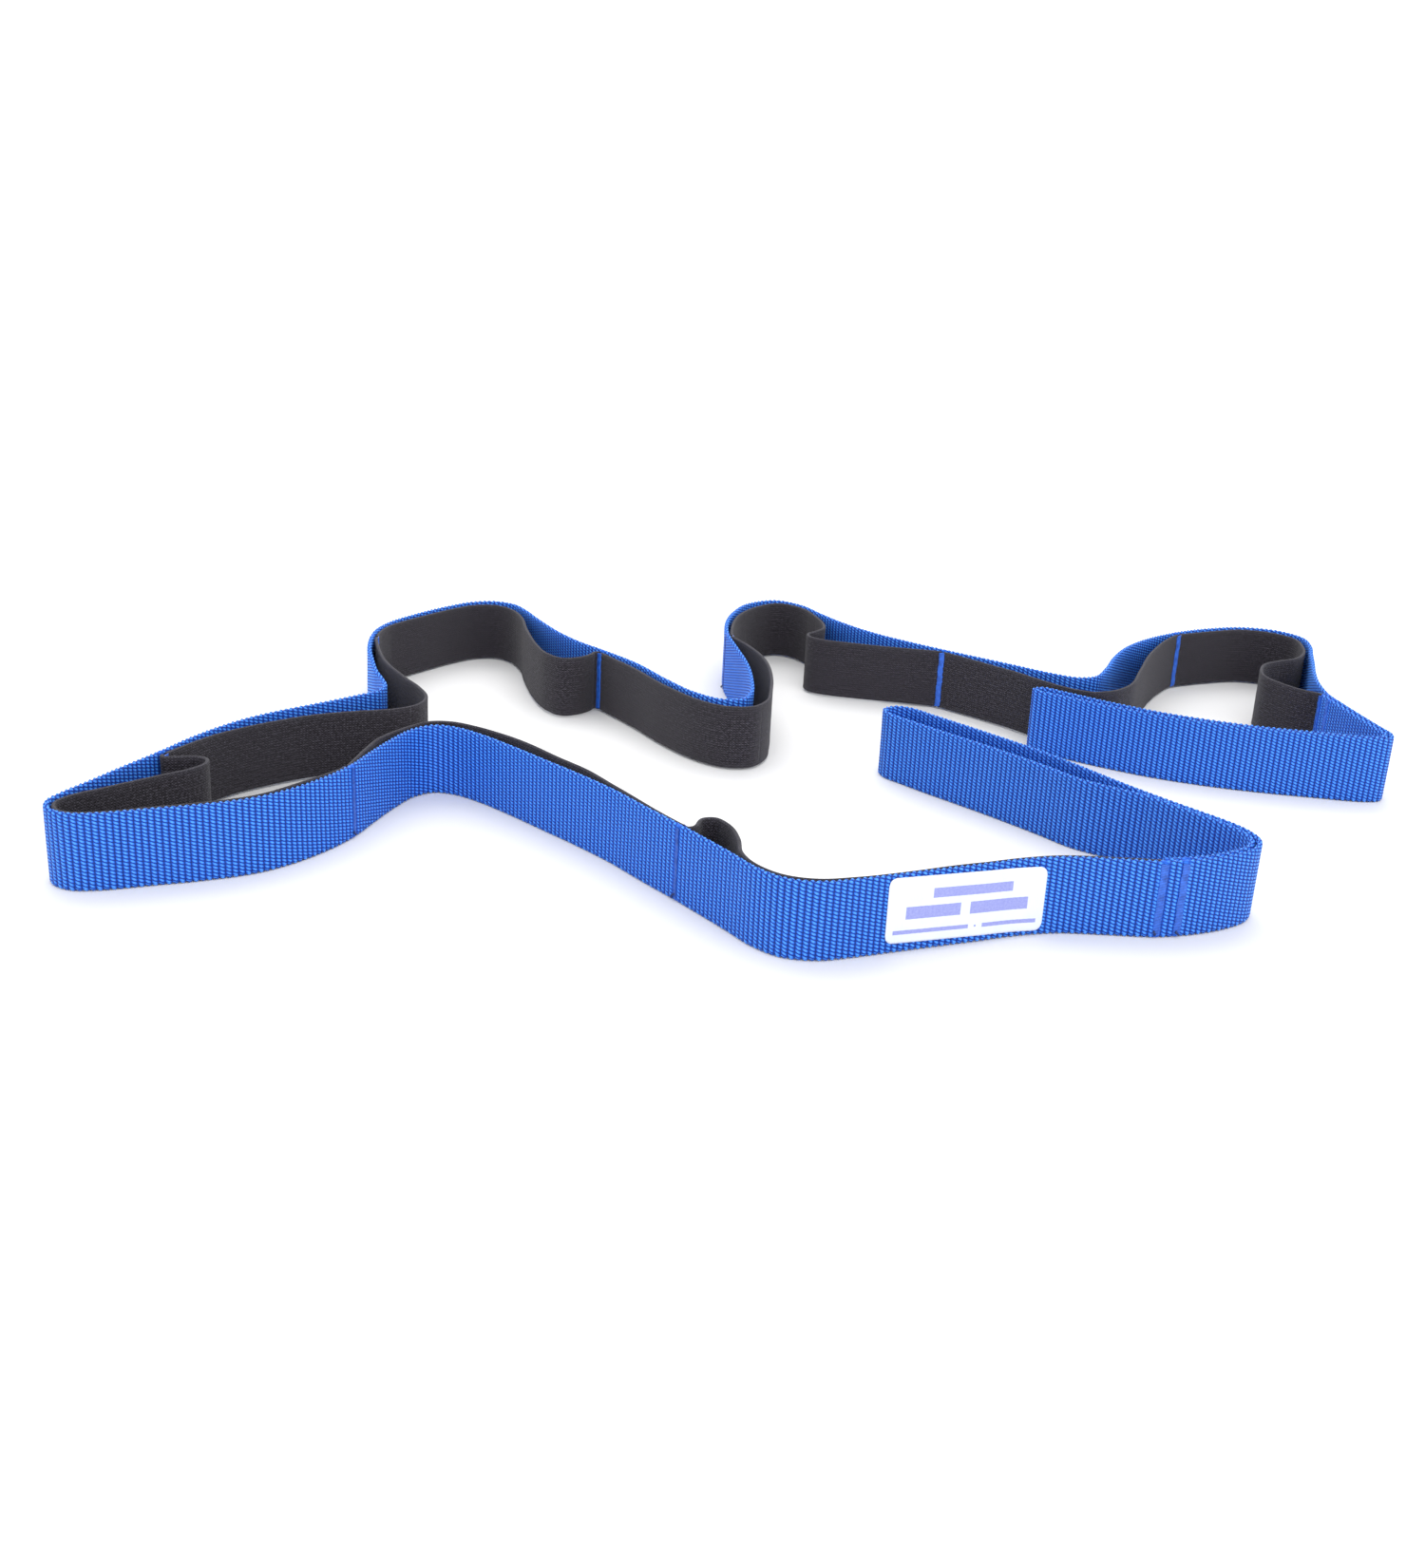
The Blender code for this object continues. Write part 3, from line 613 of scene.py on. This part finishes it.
def thread_end(name, s, offset, z, seed):
    """A short tail of thread where a row of stitches stops."""
    chance = np.random.default_rng(seed)
    turn = np.linspace(0, 1, 9)
    bend = chance.uniform(-1, 1, 3)
    along = 0.0011 * bend[0] * turn ** 2 + 0.0004 * np.sin(turn * 5 + bend[1])
    out = offset + math.copysign(0.0006, offset) * np.sin(turn * math.pi * 0.8)
    up = z - 0.0013 * turn + 0.0003 * bend[2] * turn ** 2
    centre = np.concatenate([WHOLE.place(s) + WHOLE.along(s) * along[:, None]
                             + WHOLE.right(s) * out[:, None], up[:, None]], axis=1)
    angle = np.linspace(0, 2 * math.pi, 9)[:-1]
    radius = 0.00030 * (1 - 0.35 * turn ** 3)
    step = np.gradient(centre, axis=0)
    step /= np.linalg.norm(step, axis=1, keepdims=True)
    side = np.cross(step, [0.3, 0.9, 0.2])
    side /= np.linalg.norm(side, axis=1, keepdims=True)
    other = np.cross(step, side)
    across = side[:, None] * np.cos(angle)[None, :, None]
    across = across + other[:, None] * np.sin(angle)[None, :, None]
    rings = centre[:, None] + radius[:, None, None] * across
    uv = np.stack(np.broadcast_arrays(np.linspace(0, 1, 9)[None, :], turn[:, None] * 3), axis=-1)
    return strip(name, rings, uv, THREAD, [("tail", np.ones(rings.shape[:2]))])


# ---------------------------------------------------------------- how the pieces bend


def bend_line(number, before, after):
    """The start and end of the bend at one row of stitches. before and after are points of the
    cloth on each side of it. The bend runs in the direction that keeps the two furthest apart."""
    pivot = WHOLE.place(HINGES[number])
    widest, way = -1.0, None
    for degrees in range(0, 360, 3):
        d = np.array([math.cos(math.radians(degrees)), math.sin(math.radians(degrees))])
        margin = min(((after - pivot) @ d).min(), -((before - pivot) @ d).max())
        if margin > widest:
            widest, way = margin, d
    reach = min(max(widest * 0.95, SHORTEST_BEND), LONGEST_BEND)
    return [(*(pivot + way * t), WEB_WIDTH / 2) for t in (-reach, reach)]


NAMES = ["handle_a"] + [f"pocket_{i}" for i in range(1, 10)] + ["handle_b"]
MIDDLES = [(a + b) / 2 for a, b in zip(HINGES, HINGES[1:])]
CUTS = [0.0, *MIDDLES, WHOLE.length]
CLEAR = 0.009  # cloth nearer than this to a row of stitches may bend
SHORTEST_BEND, LONGEST_BEND = 0.0015, 0.007  # on each side of a row of stitches


def points_of(line, start, end):
    return line.place(np.arange(start, end, 0.0007))


def build():
    """The cloth in pieces that each reach from half-way along one pocket to half-way along the
    next, so that each holds one row of stitches only, with the line of a bend there worked out."""
    for i in range(10):
        start, end, hinge = CUTS[i], CUTS[i + 1], HINGES[i]
        web = webbing(f"webbing_{i}", start, end)
        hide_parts(*([f"webbing_{NAMES[i]}"] if i < 9 else
                           ["webbing_pocket_9", "webbing_handle_b"]))
        before = points_of(WHOLE, start, hinge - CLEAR)
        after = points_of(WHOLE, hinge + CLEAR, end)
        bands = []
        if i > 0:
            line = BANDS[i - 1]
            bands.append((i, "b", line, line.length / 2, line.length))
            rest = points_of(line, line.length / 2, line.length - CLEAR)
            before = np.vstack([before, rest])
        if i < 9:
            line = BANDS[i]
            bands.append((i + 1, "a", line, 0.0, line.length / 2))
            after = np.vstack([after, points_of(line, CLEAR, line.length / 2)])
        first, last = bend_line(i, before, after)
        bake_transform(web)
        for pocket, half, line, low, high in bands:
            band = elastic(f"elastic_{pocket}_{half}", line, low, high, 0.2 * pocket,
                           BAND_4_LEAN if pocket == 4 else 0.0)
            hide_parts(f"elastic_pocket_{pocket}")
            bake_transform(band)
        rows_of_stitches(i)
    sew_on_label()


def rows_of_stitches(i):
    """The row of stitches on both faces, with a thread end, and a handle's second row."""
    low, high = 0.0012, WEB_WIDTH - 0.0011
    at_handle = i in (0, 9)
    inner = LOOP_GAP + WEB_THICK if at_handle else GAP + BAND_THICK
    outer_offset = -(WEB_THICK / 2 + THREAD_OUT)
    inner_offset = WEB_THICK / 2 + inner + THREAD_OUT
    s = HINGES[i]
    outer_width = ROW_WIDTH if at_handle else ROW_WIDTH * 0.5
    pieces = [stitches(f"stitches_{i}", s, outer_offset, OUTER_ROW, low, high, outer_width, 10 + i,
                       HANDLE_SHADE if at_handle else SHADE),
              stitches("back", s, inner_offset, INNER_ROW, low, high, ROW_WIDTH, 30 + i),
              thread_end("tail", s + 0.0003, outer_offset, 0.0024, 50 + i)]
    row = parts_of(*pieces)
    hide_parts({0: "tack_handle_a", 9: "tack_handle_b"}.get(i, f"tack_{i}"))
    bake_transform(row)
    if at_handle:
        letter, step = ("a", -SECOND_ROW) if i == 0 else ("b", SECOND_ROW)
        pieces = [stitches(f"stitches_second_{letter}", s + step, outer_offset, OUTER_ROW, low,
                           high, ROW_WIDTH, 70 + i, HANDLE_SHADE),
                  stitches("back", s + step, inner_offset, INNER_ROW, low, high, ROW_WIDTH,
                           80 + i),
                  thread_end("tail", s + step, outer_offset, 0.0022, 90 + i)]
        row = parts_of(*pieces)
        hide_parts(f"second_row_{letter}")
        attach(row, NAMES[0] if i == 0 else NAMES[10])


def sew_on_label():
    """A thin patch with round corners on the webbing's outer face."""
    length, radius = LABEL_TO - LABEL_FROM, 0.0025
    stations, rows, thick = 105, 33, 0.00034
    x = np.linspace(0, length, stations)
    x = length * (0.5 - 0.5 * np.cos(math.pi * x / length)) * 0.35 + x * 0.65
    short = np.clip(radius - np.minimum(x, length - x), 0, radius)
    round_ = radius - np.sqrt(radius ** 2 - short ** 2)
    low = LABEL_LOW_FROM + (LABEL_LOW_TO - LABEL_LOW_FROM) * x / length
    t = np.linspace(0, 1, rows)
    z = (low + round_)[:, None] + (LABEL_HEIGHT - 2 * round_)[:, None] * t[None, :]
    s = HINGES[0] + LABEL_FROM + x
    inside = -(WEB_THICK / 2 + 0.00012)
    sag = 0.00005 * np.cos(2 * math.pi * (s / RIB - 0.5))[:, None]
    edge = np.minimum(np.minimum(x, length - x)[:, None], np.minimum(t, 1 - t) * LABEL_HEIGHT)
    soft = 0.00012 * np.exp(-(edge / 0.00035) ** 2)
    place, right = WHOLE.place(s), WHOLE.right(s)

    def world(out):
        flat = place[:, None] + right[:, None] * out[..., None]
        return np.concatenate([flat, z[..., None]], axis=-1)

    front = world(inside - thick - sag + soft)
    back = world(np.full_like(z, inside) - sag)
    rings = np.concatenate([front, back[:, ::-1]], axis=1)
    v = (z - low[:, None]) * 1000
    v = np.concatenate([v, v[:, ::-1], v[:, :1]], axis=1)
    u = np.broadcast_to(((length - x) * 1000)[:, None], v.shape)
    label = strip("label_patch", rings, np.stack([u, v], axis=-1), LABEL)
    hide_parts("label")
    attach(label, "pocket_1")


build()

# ---------------------------------------------------------------- floor, light and camera


def floor():
    mesh = bpy.data.meshes.new("floor")
    mesh.from_pydata([(-40, -40, 0), (40, -40, 0), (40, 40, 0), (-40, 40, 0)], [], [(0, 1, 2, 3)])
    n = Nodes("floor_white")
    tone = n.noise(n.place(), 3.0, 2.0)
    colour = n.ramp(tone, (0.3, (0.79, 0.785, 0.78)), (0.7, (0.80, 0.795, 0.79)))
    mesh.materials.append(n.finish(colour, 0.7, Specular_IOR_Level=0.1))
    obj = bpy.data.objects.new("floor", mesh)
    bpy.context.scene.collection.objects.link(obj)


def sun(name, towards, spread, strength, colour):
    light = bpy.data.lights.new(name, "SUN")
    light.angle, light.energy, light.color = math.radians(spread), strength, colour
    obj = bpy.data.objects.new(name, light)
    obj.rotation_euler = Vector(towards).to_track_quat("-Z", "Y").to_euler()
    bpy.context.scene.collection.objects.link(obj)


def studio():
    """A pale floor in a bright room, with wide soft light from in front and from behind."""
    floor()
    world = bpy.data.worlds.new("studio")
    bpy.context.scene.world = world
    world.use_nodes = True
    background = world.node_tree.nodes["Background"]
    background.inputs["Color"].default_value = (0.95, 0.965, 1.0, 1)
    background.inputs["Strength"].default_value = 1.22
    sun("back", (0.15, -0.8, -1.0), 55, 1.25, (1.0, 0.985, 0.96))
    sun("front", (-0.35, 1.0, -0.9), 70, 1.1, (1.0, 0.99, 0.97))
    scene = bpy.context.scene
    scene.view_settings.view_transform = "Standard"
    scene.view_settings.look = "None"


def camera():
    """In front of the strap, looking down by 20 degrees and leaning a little."""
    pitch, roll = math.radians(20.45), math.radians(3.0)
    up = Vector((0, math.sin(pitch), math.cos(pitch)))
    right = math.cos(roll) * Vector((1, 0, 0)) + math.sin(roll) * up
    top = math.cos(roll) * up - math.sin(roll) * Vector((1, 0, 0))
    back = Vector((0, -math.cos(pitch), math.sin(pitch)))
    data = bpy.data.cameras.new("camera")
    data.sensor_width, data.lens = 36.0, 40.36
    obj = bpy.data.objects.new("camera", data)
    turn = Matrix((right, top, back)).transposed().to_4x4()
    obj.matrix_world = Matrix.Translation((-0.0289, -0.6050, 0.2197)) @ turn
    bpy.context.scene.collection.objects.link(obj)
    bpy.context.scene.camera = obj


studio()
camera()
